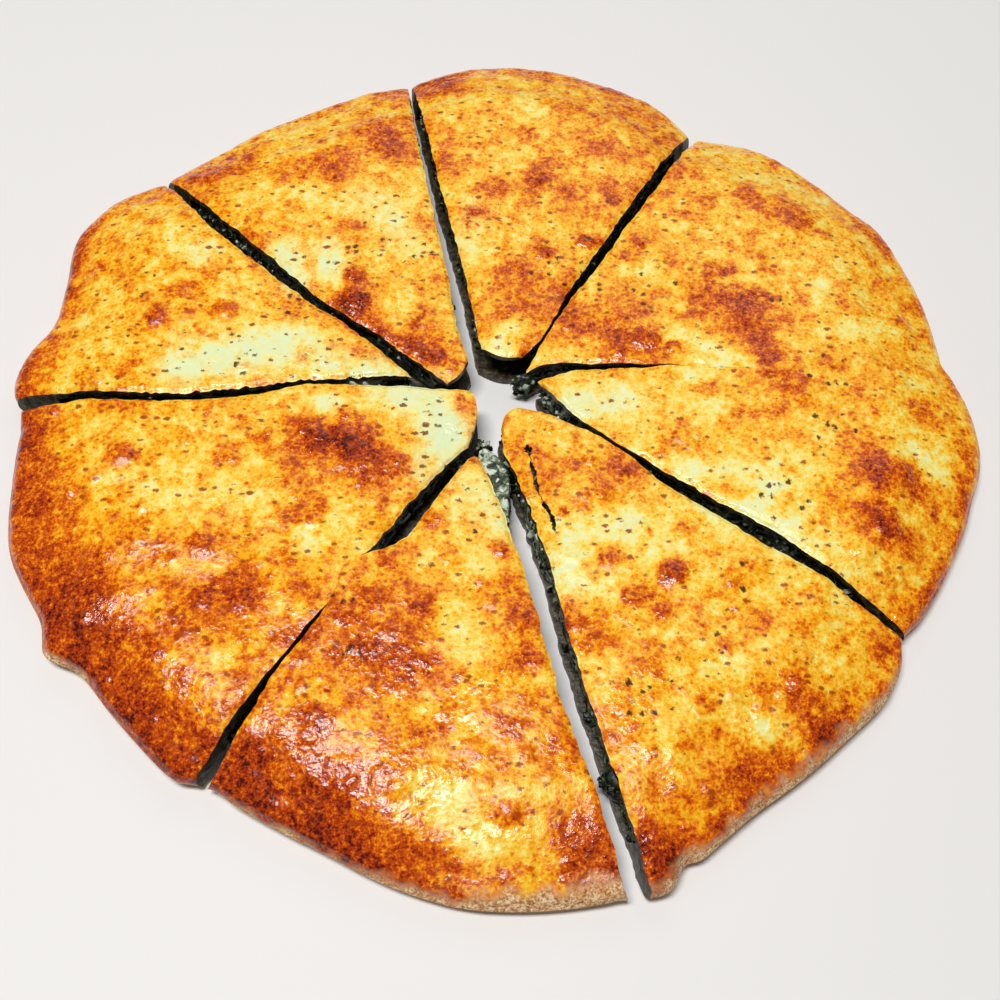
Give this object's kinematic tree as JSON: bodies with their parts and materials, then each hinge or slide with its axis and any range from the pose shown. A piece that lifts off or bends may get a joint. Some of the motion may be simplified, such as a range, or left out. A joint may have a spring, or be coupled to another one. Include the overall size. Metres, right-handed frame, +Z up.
{
  "type": "imeruli khachapuri, cut",
  "caption": "Round flat cheese bread with chopped greens in the cheese filling, glossy browned top, sealed rim, cut into slices that still lie together.",
  "frame": {"origin": "centre of the bounding box at the underside, where the bread rests", "axes": "+Z up, +Y to the back of the picture, +X to the picture's right"},
  "size_m": [0.287, 0.2954, 0.0165],
  "materials": {
    "baked crust": "satin, egg washed and baked, browned in patches",
    "cheese and greens": "moist, rough, chopped"
  },
  "bodies": {
    "root": {"slice_1_crust": "baked crust", "slice_2_crust": "baked crust", "slice_3_crust": "baked crust", "slice_4_crust": "baked crust", "slice_5_crust": "baked crust", "slice_6_crust": "baked crust", "slice_7_crust": "baked crust", "slice_8_crust": "baked crust", "slice_1_filling": "cheese and greens", "slice_2_filling": "cheese and greens", "slice_3_filling": "cheese and greens", "slice_4_filling": "cheese and greens", "slice_5_filling": "cheese and greens", "slice_6_filling": "cheese and greens", "slice_7_filling": "cheese and greens", "slice_8_filling": "cheese and greens"}
  },
  "joints": []
}
